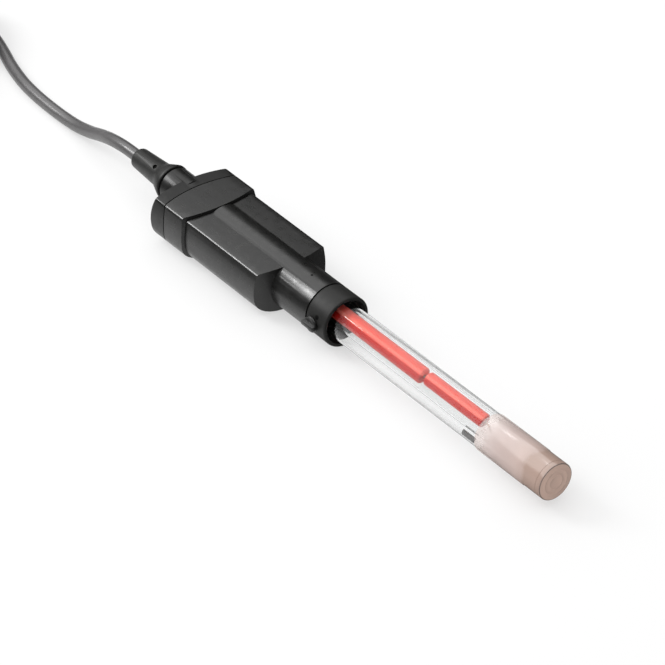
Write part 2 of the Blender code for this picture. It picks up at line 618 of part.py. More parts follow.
def build_rods(group, axis, mat, wire_mat):
    """Two red glass rods in the stem and the silver wires that run through them."""
    roof = STEM_RISE + STEM_RADIUS - STEM_WALL - SLIDE_GAP
    rods = (("upper_red_rod", ROD_START, UPPER_ROD_END, UPPER_ROD_RADIUS),
            ("lower_red_rod", LOWER_ROD_START, LOWER_ROD_END, LOWER_ROD_RADIUS))
    for name, start, end, radius in rods:
        inset = ROD_BORE
        profile = [(inset, end), (radius - ROD_ROUND, end)]
        profile += arc((radius - ROD_ROUND, end - ROD_ROUND), ROD_ROUND, 68, 0, 3)
        profile += arc((radius - ROD_ROUND, start + ROD_ROUND), ROD_ROUND, 0, -90, 3)
        profile += [(inset, start)]
        rod = turned(name, profile, True, group, axis, location=(0, 0, roof - radius), steps=32)
        finish(rod, mat)
        wire_name = name.replace("red_rod", "silver_wire")
        height = roof - radius
        points = [(start - 1.5 * MM, 0, height), ((start + end) / 2, 0, height), (end + 0.2 * MM, 0, height)]
        if name.startswith("lower"):
            points = [(start + 6 * MM, 0, height), (end, 0, height), (end + 1.6 * MM, 0, height - 0.4 * MM),
                      (end + 3.0 * MM, 0, height - 1.8 * MM)]
        finish(tube(wire_name, points, WIRE_RADIUS, group, axis, resolution=2), wire_mat)


def build_junction(group, axis, mat):
    """Porous junction pin that lies against the inside of the outer glass."""
    inner = SHAFT_RADIUS - SHAFT_WALL
    angle = math.radians(222)
    reach = inner - FIT_GAP - JUNCTION_RADIUS
    pin = cylinder("junction_pin", JUNCTION_RADIUS, JUNCTION_LENGTH,
                   (JUNCTION_X, reach * math.cos(angle), reach * math.sin(angle)),
                   (0, math.pi / 2, 0), group, axis, segments=20)
    return finish(pin, mat)


def build_seal(group, cutters, axis, mat):
    """Soft plug that closes the glass at its rear and holds the stem above the middle."""
    length = 4.0 * MM
    rear = -SOCKET_DEPTH + FIT_GAP
    outer = SHAFT_RADIUS - SHAFT_WALL - FIT_GAP
    seal = cylinder("stem_plug", outer, length, (rear + length / 2, 0, 0), (0, math.pi / 2, 0),
                    group, axis, segments=32)
    seat_start = -SOCKET_DEPTH + STEM_INSET - FIT_GAP
    seat_length = 2 * length
    seat = cylinder("stem_seat_cut", STEM_RADIUS + FIT_GAP, seat_length,
                    (seat_start + seat_length / 2, 0, STEM_RISE), (0, math.pi / 2, 0), cutters, axis)
    combine(seal, seat, "DIFFERENCE")
    bore = cylinder("lead_cut", LEAD_BORE, 3 * length, (rear, 0, 0), (0, math.pi / 2, 0), cutters, axis,
                    segments=24)
    combine(seal, bore, "DIFFERENCE")
    return finish(seal, mat)


def build_cap(group, axis, mat):
    """Soft cap pulled over the tip, with a stepped wall and rings on its flat end."""
    inner = SHAFT_RADIUS + CAP_GAP
    outer = inner + CAP_WALL
    front = CAP_END
    rear = CAP_END - CAP_LENGTH
    end_radius = outer - CAP_STEP
    small, large = CAP_RING_RADII
    ridge = CAP_RING_HEIGHT
    half = 0.35 * MM
    profile = [(0, front - ridge), (small - half, front - ridge), (small, front),
               (small + half, front - ridge), (large - half, front - ridge), (large, front),
               (large + half, front - ridge), (end_radius - CAP_CHAMFER, front - ridge),
               (end_radius - 0.3 * CAP_CHAMFER, front - ridge - 0.3 * CAP_CHAMFER),
               (end_radius, front - ridge - CAP_CHAMFER)]
    profile += [(end_radius, CAP_LINE_X + CAP_LINE), (end_radius - CAP_LINE, CAP_LINE_X),
                (end_radius, CAP_LINE_X - CAP_LINE)]
    profile += [(end_radius, CAP_STEP_X + 0.5 * MM), (outer, CAP_STEP_X),
                (outer, rear + 0.25 * MM), (outer - 0.12 * MM, rear), (inner, rear)]
    floor = front - CAP_FLOOR
    profile += [(inner, floor - 3.4 * MM), (inner - 0.5 * MM, floor - 1.2 * MM), (inner - 1.6 * MM, floor),
                (0, floor)]
    cap = turned("tip_cap", profile, False, group, axis, steps=FINE_STEPS)
    return finish(cap, mat)


def catmull_rom(points, spacing):
    """Points a fixed spacing apart on a smooth curve through the given points."""
    points = [Vector(p) for p in points]
    padded = [2 * points[0] - points[1]] + points + [2 * points[-1] - points[-2]]
    dense = []
    for i in range(1, len(padded) - 2):
        a, b, c, e = padded[i - 1:i + 3]
        for j in range(40):
            t = j / 40
            dense.append(0.5 * ((2 * b) + (c - a) * t + (2 * a - 5 * b + 4 * c - e) * t * t
                                + (3 * b - a - 3 * c + e) * t ** 3))
    dense.append(points[-1])
    length = sum((dense[i + 1] - dense[i]).length for i in range(len(dense) - 1))
    count = max(2, round(length / spacing))
    result, travelled, target = [dense[0]], 0.0, length / count
    for i in range(len(dense) - 1):
        step = (dense[i + 1] - dense[i]).length
        while travelled + step >= target - 1e-9 and len(result) < count:
            result.append(dense[i].lerp(dense[i + 1], (target - travelled) / step))
            target += length / count
        travelled += step
    result.append(dense[-1])
    return result


def cable_route():
    """Hand-chosen points from the boot down to the floor and to the coil's side."""
    exit_x = NECK_FACE_X + BOOT_END_X - FIT_GAP
    exit_z = AXIS_HEIGHT + GLAND_RISE
    points = [(-8.0, 0.0, 11.1), (-15.0, 0.3, 9.9), (-22.0, 0.9, 7.7), (-29.0, 1.3, 5.2),
              (-37.0, 1.6, 3.2), (-45.0, 1.8, 2.3), (-54.0, 1.9, 2.1), (-63.0, 2.3, 2.1),
              (-72.0, 3.4, 2.1), (-82.0, 5.7, 2.1), (-90.0, 8.2, 2.1), (-98.5, 10.6, 2.1)]
    placed = [(exit_x, 0.0, exit_z), (exit_x - 1.5 * MM, 0.0, exit_z)]
    for x, y, z in points:
        placed.append((exit_x + x * MM, y * MM, max(z * MM, CABLE_RADIUS)))
    return placed


def build_cable(group, mat):
    """The cable that runs free and the solid that stands for its coil."""
    spacing = 2.5 * 2 * CABLE_RADIUS
    route = [Vector(place) for place in cable_route()]
    curve = route[:1] + catmull_rom(route[1:], spacing / 2)
    run = tube("cable_run", curve, CABLE_RADIUS, group, None, resolution=2)
    finish(run, mat)
    half_wide = COIL_TURNS_WIDE * CABLE_RADIUS
    height = COIL_TURNS_HIGH * 2 * CABLE_RADIUS
    outer, inner = COIL_MEAN_RADIUS + half_wide, COIL_MEAN_RADIUS - half_wide
    edge = CABLE_RADIUS * 0.6
    profile = [(inner + edge, height), (outer - edge, height), (outer, height - edge), (outer, edge),
               (outer - edge, 0), (inner + edge, 0), (inner, edge), (inner, height - edge)]
    coil = turned("cable_coil", profile, True, group, None, location=COIL_CENTRE, steps=48,
                  rotation=(0, 0, 0))
    finish(coil, mat)


def build_plug(group, body_mat, metal_mat, insert_mat, jacket_mat):
    """Round plug that lies on the coil's top turn, with its boot, sleeve, insert and pins."""
    height = COIL_TURNS_HIGH * 2 * CABLE_RADIUS + FIT_GAP + PLUG_RADIUS
    total = PLUG_BOOT_LENGTH + PLUG_GRIP_LENGTH + PLUG_SLEEVE_LENGTH
    hub = bpy.data.objects.new("plug_axis", None)
    group.objects.link(hub)
    hub.location = COIL_CENTRE + Vector((*PLUG_PLACE, height))
    hub.rotation_euler = (0, math.pi / 2, 0)       # local Z lies along X, towards the pins
    start = -total / 2
    grip_start = start + PLUG_BOOT_LENGTH
    grip_end = grip_start + PLUG_GRIP_LENGTH
    sleeve_end = grip_end + PLUG_SLEEVE_LENGTH
    edge = 0.6 * MM
    groove = 0.35 * MM
    sleeve_inner = PLUG_SLEEVE_RADIUS - PLUG_SLEEVE_WALL

    rib_from = grip_start + 2.4 * MM
    pitch = (PLUG_GRIP_LENGTH - 6.0 * MM) / PLUG_RIBS
    outer = [(PLUG_RADIUS - edge, grip_end), (PLUG_RADIUS, grip_end - edge)]
    for i in reversed(range(PLUG_RIBS)):
        z = rib_from + i * pitch
        outer += [(PLUG_RADIUS, z + pitch * 0.55), (PLUG_RADIUS - groove, z + pitch * 0.4),
                  (PLUG_RADIUS - groove, z + pitch * 0.15), (PLUG_RADIUS, z)]
    outer += [(PLUG_RADIUS, grip_start + edge), (PLUG_RADIUS - edge, grip_start)]
    grip = turned("plug_grip", [(0, grip_end)] + outer + [(0, grip_start)], False, group, hub,
                  steps=32, rotation=(0, 0, 0))
    finish(grip, body_mat)

    taper = [(0, grip_start - FIT_GAP), (PLUG_BOOT_RADIUS, grip_start - FIT_GAP)]
    rings = 3
    for i in range(rings):
        share = (i + 1) / (rings + 1)
        radius = PLUG_BOOT_RADIUS + (PLUG_BOOT_TIP - PLUG_BOOT_RADIUS) * share
        z = grip_start - PLUG_BOOT_LENGTH * share
        taper += [(radius + 0.1 * MM, z + 0.8 * MM), (radius - 0.45 * MM, z + 0.5 * MM),
                  (radius - 0.45 * MM, z), (radius + 0.1 * MM, z - 0.3 * MM)]
    taper += [(PLUG_BOOT_TIP, start), (0, start)]
    finish(turned("plug_boot", taper, False, group, hub, steps=28, rotation=(0, 0, 0)), body_mat)

    base = grip_end + FIT_GAP
    sleeve = turned("plug_sleeve", [(sleeve_inner, sleeve_end), (PLUG_SLEEVE_RADIUS - 0.2 * MM, sleeve_end),
                                    (PLUG_SLEEVE_RADIUS, sleeve_end - 0.2 * MM), (PLUG_SLEEVE_RADIUS, base),
                                    (sleeve_inner, base)], True, group, hub, steps=36, rotation=(0, 0, 0))
    finish(sleeve, metal_mat)

    insert_depth = 3.0 * MM
    insert_radius = sleeve_inner - FIT_GAP
    insert = turned("plug_insert", [(0, base + insert_depth), (insert_radius, base + insert_depth),
                                    (insert_radius, base), (0, base)], False, group, hub, steps=32,
                    rotation=(0, 0, 0))
    finish(insert, insert_mat)

    for i in range(PIN_COUNT):
        angle = -PIN_SPREAD / 2 + PIN_SPREAD * i / (PIN_COUNT - 1)
        pin_base = base + insert_depth + FIT_GAP
        pin_end = base + PIN_LENGTH
        pin = turned("plug_pin_%d" % (i + 1),
                     [(0, pin_end), (PIN_RADIUS * 0.5, pin_end), (PIN_RADIUS, pin_end - 0.5 * MM),
                      (PIN_RADIUS, pin_base), (0, pin_base)], False, group, hub,
                     location=(PIN_CIRCLE * math.cos(angle), PIN_CIRCLE * math.sin(angle), 0),
                     steps=12, rotation=(0, 0, 0))
        finish(pin, metal_mat)

    # the cable's last part turn on top of the coil, and the bend from there into the plug's boot
    top = COIL_TURNS_HIGH * 2 * CABLE_RADIUS + FIT_GAP + CABLE_RADIUS
    reach = start - FIT_GAP + PLUG_PLACE[0]
    side = PLUG_PLACE[1]
    route = [(reach, side, height), (reach - 1.5 * MM, side, height),
             (reach - 2.3 * MM, side + 0.1 * MM, height),
             (reach - 6.6 * MM, side + 2.2 * MM, height - 0.6 * MM),
             (reach - 9.0 * MM, side + 8.2 * MM, height - 2.3 * MM),
             (reach - 7.2 * MM, side + 15.4 * MM, top + 0.9 * MM),
             (reach - 4.2 * MM, side + 21.5 * MM, top)]
    first, last = LAST_TURN
    steps = 9
    for i in range(steps + 1):
        angle = math.radians(last + (first - last) * i / steps)
        route.append((LAST_TURN_RADIUS * math.cos(angle), LAST_TURN_RADIUS * math.sin(angle), top))
    points = [COIL_CENTRE + Vector(place) for place in route]
    curve = points[:1] + catmull_rom(points[1:], 1.2 * 2 * CABLE_RADIUS)
    tail = tube("cable_tail", curve, CABLE_RADIUS, group, None, resolution=2)
    finish(tail, jacket_mat)


def build_electrode():
    clear_scene()
    parts = make_collection(PART)
    cutters = make_collection("cutters")

    black_plastic = make_material("black_plastic", (0.035, 0.035, 0.034), 0.42)
    soft_black = make_material("soft_black_rubber", (0.045, 0.045, 0.043), 0.75)
    jacket = make_material("cable_jacket", (0.10, 0.10, 0.10), 0.5)
    clear_glass = make_material("clear_glass", (0.95, 0.97, 0.97), 0.02, transmission=1.0, alpha=0.35)
    membrane = make_material("membrane_glass", (0.85, 0.95, 0.97), 0.03, transmission=1.0, alpha=0.5)
    red_glass = make_material("red_glass", (0.80, 0.10, 0.07), 0.12)
    brown_wire = make_material("plated_wire", (0.42, 0.27, 0.18), 0.4, metallic=0.6)
    nickel = make_material("nickel", (0.7, 0.7, 0.68), 0.25, metallic=1.0)
    board_green = make_material("board_laminate", (0.03, 0.18, 0.08), 0.45)
    chip_black = make_material("chip_resin", (0.02, 0.02, 0.02), 0.5)
    ceramic = make_material("porous_ceramic", (0.16, 0.15, 0.15), 0.9)
    cap_rubber = make_material("cap_rubber", (0.52, 0.33, 0.26), 0.45, alpha=0.8)
    insert_plastic = make_material("insert_plastic", (0.04, 0.04, 0.04), 0.5)

    axis = bpy.data.objects.new("electrode_axis", None)
    parts.objects.link(axis)
    axis.location = (NECK_FACE_X, 0, AXIS_HEIGHT)
    gland = bpy.data.objects.new("gland_axis", None)
    parts.objects.link(gland)
    gland.parent = axis
    gland.location = (0, 0, GLAND_RISE)
    stem_axis = bpy.data.objects.new("stem_axis", None)
    parts.objects.link(stem_axis)
    stem_axis.parent = axis
    stem_axis.location = (0, 0, STEM_RISE)

    build_head_body(parts, cutters, axis, black_plastic)
    build_band(parts, cutters, axis, black_plastic)
    build_rear_cover(parts, cutters, axis, black_plastic)
    build_boot(parts, cutters, gland, soft_black)
    build_cable_end(parts, gland, jacket, nickel)
    build_electronics(parts, axis, board_green, chip_black, nickel)
    build_collar(parts, cutters, axis, soft_black)
    build_stopper(parts, cutters, axis, soft_black)
    build_shaft(parts, cutters, axis, clear_glass)
    build_stem(parts, stem_axis, clear_glass, membrane)
    build_rods(parts, axis, red_glass, brown_wire)
    build_junction(parts, axis, ceramic)
    build_seal(parts, cutters, axis, soft_black)
    build_cap(parts, axis, cap_rubber)
    build_cable(parts, jacket)
    build_plug(parts, black_plastic, nickel, insert_plastic, jacket)


build_electrode()
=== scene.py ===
import math
import bpy
import bmesh
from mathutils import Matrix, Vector


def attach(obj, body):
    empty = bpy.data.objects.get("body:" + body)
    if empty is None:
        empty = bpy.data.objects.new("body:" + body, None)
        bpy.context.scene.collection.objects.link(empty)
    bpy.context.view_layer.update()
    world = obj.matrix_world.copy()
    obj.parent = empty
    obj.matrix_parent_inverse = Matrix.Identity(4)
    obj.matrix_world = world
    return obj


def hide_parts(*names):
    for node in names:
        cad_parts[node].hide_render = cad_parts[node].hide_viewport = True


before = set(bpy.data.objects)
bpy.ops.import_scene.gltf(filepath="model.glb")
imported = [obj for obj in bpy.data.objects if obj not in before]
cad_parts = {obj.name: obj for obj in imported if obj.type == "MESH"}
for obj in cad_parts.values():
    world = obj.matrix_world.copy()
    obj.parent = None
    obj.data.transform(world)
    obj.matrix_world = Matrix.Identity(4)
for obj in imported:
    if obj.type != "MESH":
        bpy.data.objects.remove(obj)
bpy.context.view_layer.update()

# Places and sizes, in mm. The x values of turned pieces count from the neck's front face
MM = 0.001
NECK_FACE_X = -4.075         # world X of the neck's front face
AXIS_Z = 8.6                 # electrode axis above the floor
SHAFT_RADIUS = 5.95
SHAFT_WALL = 0.9
SHAFT_END = 98.5
STEM_RISE = 1.2              # the stem's axis above the shaft's
STEM_RADIUS = 3.6
STEM_WALL = 0.45
ROD_GAP = 0.17               # between the rods and the stem's roof
CAP_REAR = 77.05
CAP_FRONT = 106.15
CABLE_R = 2.1
CABLE_SPACING = 2.1          # between the points of the cable's curve
COIL_CENTRE = Vector((-219.0, -10.5, 0.0))
COIL_R = 21.0                # middle of the coil's turns
TURN_HALF = 2.15             # half the distance between two turns that touch
LAYER = 2 * TURN_HALF

# Camera, fitted to the photo
PHOTO_SIZE = 665.0           # pixels
FOCAL_LENGTH = 3700.0        # pixels
SENSOR_WIDTH = 36.0
CAMERA_PLACE = Vector((711.375, -548.83, 661.59))
CAMERA_WAY = Vector((-0.63865, 0.4917, -0.59191))

# Radiance of the surroundings: darkest and brightest side for diffuse light, and the bank in mirror rays
DIM, BRIGHT, GLOSS_SKY = 0.12, 1.9, 2.1

# Shading
GRAIN_DEPTH = 0.00003        # height of a moulded surface's grain, in metres
GLASS_IOR = 1.47
SHADOW_PASS = 0.93           # share of the shadow rays that glass lets through
PLASTIC_BLACKS = ((0.007, 0.007, 0.0066), (0.011, 0.011, 0.0105))

scene = bpy.context.scene
scene.view_settings.view_transform = "Standard"


def from_neck(x):
    """World X in metres of a place in mm from the neck's front face."""
    return (NECK_FACE_X + x) * MM


# Node helpers

def node_material(name):
    mat = bpy.data.materials.new(name)
    mat.use_nodes = True
    tree = mat.node_tree
    return mat, tree, tree.nodes["Principled BSDF"]


def add_node(tree, kind, **values):
    """A new node, with values for its inputs and its own settings."""
    node = tree.nodes.new(kind)
    for key, value in values.items():
        if key in node.inputs:
            node.inputs[key].default_value = value
        else:
            setattr(node, key, value)
    return node


def feed(tree, value, socket):
    """Link a socket's value, or set a plain one."""
    if isinstance(value, bpy.types.NodeSocket):
        tree.links.new(value, socket)
    else:
        socket.default_value = value


def object_place(tree):
    return tree.nodes.new("ShaderNodeTexCoord").outputs["Object"]


def split_xyz(tree, source):
    node = tree.nodes.new("ShaderNodeSeparateXYZ")
    tree.links.new(source, node.inputs[0])
    return node.outputs


def noise(tree, scale, detail=2.0, rough=0.5, stretch=None):
    place = object_place(tree)
    tex = add_node(tree, "ShaderNodeTexNoise", Scale=scale, Detail=detail, Roughness=rough)
    if stretch:
        mapping = add_node(tree, "ShaderNodeMapping", Scale=stretch)
        tree.links.new(place, mapping.inputs["Vector"])
        place = mapping.outputs["Vector"]
    tree.links.new(place, tex.inputs["Vector"])
    return tex.outputs["Fac"]


def ramp(tree, source, stops):
    node = tree.nodes.new("ShaderNodeValToRGB")
    elements = node.color_ramp.elements
    while len(elements) < len(stops):
        elements.new(0.5)
    for element, (place, colour) in zip(elements, stops):
        element.position = place
        element.color = (*colour, 1.0)
    tree.links.new(source, node.inputs["Fac"])
    return node.outputs["Color"]


def remap(tree, source, low, high, start=0.0, end=1.0):
    """From low to high while the source goes from start to end, and level past them."""
    node = tree.nodes.new("ShaderNodeMapRange")
    for name, value in (("Value", source), ("From Min", start), ("From Max", end), ("To Min", low),
                        ("To Max", high)):
        feed(tree, value, node.inputs[name])
    return node.outputs["Result"]


def combine(tree, operation, first, second, clamp=False):
    node = add_node(tree, "ShaderNodeMath", operation=operation, use_clamp=clamp)
    feed(tree, first, node.inputs[0])
    feed(tree, second, node.inputs[1])
    return node.outputs[0]


def multiply(tree, first, second):
    return combine(tree, "MULTIPLY", first, second)


def vector_math(tree, operation, source, value):
    node = add_node(tree, "ShaderNodeVectorMath", operation=operation)
    node.inputs[1].default_value = value
    tree.links.new(source, node.inputs[0])
    return node.outputs


def side_of(tree, direction, source):
    """How far the source lies towards a direction."""
    return vector_math(tree, "DOT_PRODUCT", source, direction)["Value"]


def from_axis(tree, axis_z):
    """The place on the object, counted from a line along X at a height in mm."""
    return vector_math(tree, "SUBTRACT", object_place(tree), (0.0, 0.0, axis_z * MM))["Vector"]


def mix(tree, kind, share, under, over):
    """A blend of two numbers (FLOAT) or two colours (RGBA)."""
    node = add_node(tree, "ShaderNodeMix", data_type=kind)
    for name, value in (("Factor", share), ("A", under), ("B", over)):
        feed(tree, value, node.inputs[name])
    return node.outputs["Result"]


def mix_surface(tree, share, under, over):
    """Make a blend of two shaders the surface of the material."""
    node = tree.nodes.new("ShaderNodeMixShader")
    tree.links.new(share, node.inputs["Fac"])
    tree.links.new(under.outputs[0], node.inputs[1])
    tree.links.new(over.outputs[0], node.inputs[2])
    tree.links.new(node.outputs[0], tree.nodes["Material Output"].inputs["Surface"])


def bump(tree, shader, source, strength, distance):
    node = add_node(tree, "ShaderNodeBump", Strength=strength, Distance=distance)
    tree.links.new(source, node.inputs["Height"])
    tree.links.new(node.outputs["Normal"], shader.inputs["Normal"])


# Materials

def grained(name, dark, light, rough_low, rough_high, grain=2600, strength=0.25, metallic=0.0,
            specular=0.5):
    """A moulded, rubber or metal surface: colour patches, varied gloss and a fine bump."""
    patch, gloss_patch = 60, 360
    mat, tree, shader = node_material(name)
    shader.inputs["Metallic"].default_value = metallic
    shader.inputs["Specular IOR Level"].default_value = specular
    colour = ramp(tree, noise(tree, patch, 4.0, 0.6), [(0.3, dark), (0.7, light)])
    tree.links.new(colour, shader.inputs["Base Color"])
    rough = remap(tree, noise(tree, gloss_patch, 3.0), rough_low, rough_high, 0.3, 0.7)
    tree.links.new(rough, shader.inputs["Roughness"])
    bump(tree, shader, noise(tree, grain), strength, GRAIN_DEPTH)
    return mat


def glass(name, tint):
    """Clear glass with faint drawn streaks that lets most shadow rays pass, so the floor stays light."""
    mat, tree, shader = node_material(name)
    shader.inputs["Transmission Weight"].default_value = 1.0
    shader.inputs["IOR"].default_value = GLASS_IOR
    shader.inputs["Roughness"].default_value = 0.0
    streak = noise(tree, 40, stretch=(0.15, 6.0, 6.0))
    colour = ramp(tree, streak, [(0.3, tint), (0.7, (1.0, 1.0, 1.0))])
    tree.links.new(colour, shader.inputs["Base Color"])
    clear = tree.nodes.new("ShaderNodeBsdfTransparent")
    path = tree.nodes.new("ShaderNodeLightPath")
    mix_surface(tree, multiply(tree, path.outputs["Is Shadow Ray"], SHADOW_PASS), shader, clear)
    return mat


def make_red(name, axis_z):
    """Red glass rod, pale over its top with a painted highlight line, and painted shade in deep red down its
    left side and under it.
    """
    mat, tree, shader = node_material(name)
    shader.inputs["Roughness"].default_value = 0.5
    shader.inputs["Specular IOR Level"].default_value = 0.08
    around = from_axis(tree, axis_z)
    streak = noise(tree, 60, 3.0, stretch=(0.2, 5.0, 5.0))
    colour = ramp(tree, streak, [(0.3, (0.84, 0.115, 0.085)), (0.7, (0.90, 0.145, 0.11))])
    # painted highlight: a paler red line along the rod, from the angle around its axis
    slope = side_of(tree, (0.0, -0.79, -0.61), around)
    highlight_start = remap(tree, slope, 0.0, 1.0, -0.0007, -0.0004)
    highlight_end = remap(tree, slope, 1.0, 0.0, 0.0001, 0.0003)
    line = multiply(tree, highlight_start, highlight_end)
    # painted shade: deep red down the rod's left side, where it turns away from the light
    left = remap(tree, side_of(tree, (0.0, -0.643, -0.766), around), 0.0, 1.0, -0.0001, 0.0001)
    # painted shade under the rod, a little less deep than down its left side
    rim = remap(tree, side_of(tree, (0.0, 0.0, -1.0), around), 0.0, 1.0, -0.0001, 0.0002)
    # the painted highlight and the two painted shades laid over the rod's own streaked red
    for share, shade in ((line, (0.94, 0.21, 0.16, 1.0)), (left, (0.58, 0.012, 0.008, 1.0)),
                         (rim, (0.66, 0.07, 0.05, 1.0))):
        colour = mix(tree, "RGBA", share, colour, shade)
    tree.links.new(colour, shader.inputs["Base Color"])
    return mat


def make_cap_rubber():
    """Thin translucent rubber, denser and browner towards the closed end, with a dark ring round its face."""
    colours = [(0.0, (0.76, 0.70, 0.69)), (0.35, (0.62, 0.51, 0.48)), (0.70, (0.49, 0.375, 0.335)),
               (0.74, (0.385, 0.28, 0.235)), (1.0, (0.38, 0.27, 0.225))]
    pale_x, brown_x = 77.0, 106.0
    face_x, full_face_x = 105.6, 105.8
    ring_start, ring_full = 0.00572, 0.00582       # distance from the axis, in metres
    mat, tree, shader = node_material("cap_rubber")
    shader.inputs["Roughness"].default_value = 0.18
    shader.inputs["Coat Weight"].default_value = 0.5
    shader.inputs["Coat Roughness"].default_value = 0.08
    x = split_xyz(tree, object_place(tree))["X"]
    along = remap(tree, x, 0.0, 1.0, from_neck(pale_x), from_neck(brown_x))
    sway = remap(tree, noise(tree, 160, 4.0, 0.6), -0.03, 0.03, 0.3, 0.7)
    browning = combine(tree, "ADD", along, sway, clamp=True)
    colour = ramp(tree, browning, colours)
    face = remap(tree, x, 0.0, 1.0, from_neck(face_x), from_neck(full_face_x))
    colour = mix(tree, "RGBA", face, colour, (0.66, 0.47, 0.39, 1.0))
    across = vector_math(tree, "MULTIPLY", from_axis(tree, AXIS_Z), (0.0, 1.0, 1.0))["Vector"]
    distance = vector_math(tree, "LENGTH", across, (0.0, 0.0, 0.0))["Value"]
    ring = multiply(tree, remap(tree, distance, 0.0, 0.75, ring_start, ring_full), face)
    colour = mix(tree, "RGBA", ring, colour, (0.10, 0.09, 0.085, 1.0))
    tree.links.new(colour, shader.inputs["Base Color"])
    clear = add_node(tree, "ShaderNodeBsdfTransparent", Color=(0.97, 0.93, 0.91, 1.0))
    mix_surface(tree, remap(tree, browning, 0.20, 0.97, 0.0, 0.62), clear, shader)
    bump(tree, shader, noise(tree, 900, 3.0), 0.15, 0.00004)
    return mat


black_plastic = grained("black_plastic", *PLASTIC_BLACKS, 0.25, 0.36, grain=2200, strength=0.6)
cover_plastic = grained("cover_plastic", *PLASTIC_BLACKS, 0.28, 0.38, strength=0.35, specular=0.29)
collar_rubber = grained("collar_rubber", (0.012, 0.012, 0.0115), (0.018, 0.018, 0.017), 0.46, 0.58,
                        grain=2200, strength=0.4, specular=0.21)
boot_rubber = grained("boot_rubber", (0.010, 0.010, 0.0095), (0.014, 0.014, 0.013), 0.38, 0.50,
                      grain=2200, strength=0.35, specular=0.32)
jacket = grained("cable_jacket", (0.072, 0.070, 0.071), (0.095, 0.092, 0.093), 0.28, 0.38, grain=1800)
nickel = grained("nickel", (0.62, 0.61, 0.58), (0.70, 0.69, 0.66), 0.16, 0.26, grain=1500, strength=0.1,
                 metallic=1.0)
wire_metal = grained("wire_metal", (0.34, 0.22, 0.14), (0.50, 0.36, 0.25), 0.3, 0.45, grain=3000,
                     strength=0.2, metallic=0.7)
board_green = grained("board_green", (0.02, 0.13, 0.05), (0.03, 0.18, 0.08), 0.35, 0.5)
chip_resin = grained("chip_resin", (0.02, 0.02, 0.02), (0.03, 0.03, 0.03), 0.45, 0.55)
ceramic = grained("porous_ceramic", (0.10, 0.10, 0.10), (0.16, 0.155, 0.15), 0.8, 0.95, grain=4000,
                  strength=0.6)
# near-black for discs of painted shade where small holes would be
painted_hole_shade = grained("painted_hole_shade", (0.003, 0.003, 0.003), (0.005, 0.005, 0.005), 0.6, 0.7, specular=0.1)
tie_plastic = grained("tie_plastic", (0.03, 0.03, 0.03), (0.04, 0.04, 0.04), 0.4, 0.5)
clear_glass = glass("clear_glass", (0.975, 0.98, 0.98))
membrane = glass("membrane_glass", (0.88, 0.95, 0.96))
cap_rubber = make_cap_rubber()


# Geometry helpers

def finish_mesh(build, name, angle=None):
    """The mesh of a bmesh, smooth up to an angle where one is given."""
    mesh = bpy.data.meshes.new(name)
    build.to_mesh(mesh)
    build.free()
    if angle:
        mesh.shade_smooth()
        mesh.set_sharp_from_angle(angle=math.radians(angle))
    return mesh


def place_piece(obj, body, mat, *nodes):
    """Give a finished piece its material, its CAD nodes and its body."""
    scene.collection.objects.link(obj)
    obj.data.materials.clear()
    obj.data.materials.append(mat)
    if nodes:
        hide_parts(*nodes)
    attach(obj, body)
    return obj


def dress(node, body, mat, width=0.0, angle=30):
    """A finer copy of a CAD node, with welded faces, smooth shading and edges rounded over a width."""
    weld, flat = 0.000004, math.radians(0.6)
    name = node + "_look"
    build = bmesh.new()
    build.from_mesh(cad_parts[node].data)
    bmesh.ops.remove_doubles(build, verts=build.verts, dist=weld)
    bmesh.ops.dissolve_limit(build, angle_limit=flat, verts=build.verts, edges=build.edges)
    obj = bpy.data.objects.new(name, finish_mesh(build, name, angle))
    place_piece(obj, body, mat, node)
    if width:
        edge = obj.modifiers.new("edges", "BEVEL")
        edge.width = width
        edge.segments = 3
        edge.limit_method = "ANGLE"
        edge.angle_limit = math.radians(angle)
        edge.harden_normals = True
        edge.miter_outer = "MITER_ARC"
    return obj


def lathe(name, profile, body, mat, node, axis_z=AXIS_Z, steps=96, closed=True, angle=50):
    """A solid turned about a line along X. The profile holds (radius, x) points."""
    build = bmesh.new()
    rings = []
    for radius, x in profile:
        if radius <= 1e-6:
            rings.append([build.verts.new((from_neck(x), 0.0, axis_z * MM))])
            continue
        ring = []
        for i in range(steps):
            turn = 2 * math.pi * i / steps
            ring.append(build.verts.new((from_neck(x), radius * math.cos(turn) * MM,
                                         (axis_z + radius * math.sin(turn)) * MM)))
        rings.append(ring)
    pairs = list(zip(rings, rings[1:]))
    if closed:
        pairs.append((rings[-1], rings[0]))
    for a, b in pairs:
        for i in range(steps):
            j = (i + 1) % steps
            corners = [a[i % len(a)], a[j % len(a)], b[j % len(b)], b[i % len(b)]]
            unique = list(dict.fromkeys(corners))
            if len(unique) > 2:
                build.faces.new(unique)
    bmesh.ops.recalc_face_normals(build, faces=build.faces)
    return place_piece(bpy.data.objects.new(name, finish_mesh(build, name, angle)), body, mat, node)


def arc(centre, radius, start, end, steps):
    points = []
    for i in range(steps + 1):
        turn = math.radians(start + (end - start) * i / steps)
        points.append((centre[0] + radius * math.cos(turn), centre[1] + radius * math.sin(turn)))
    return points


def ease(share):
    """0 to 1 with a soft start and end."""
    share = max(0.0, min(1.0, share))
    return share * share * (3 - 2 * share)


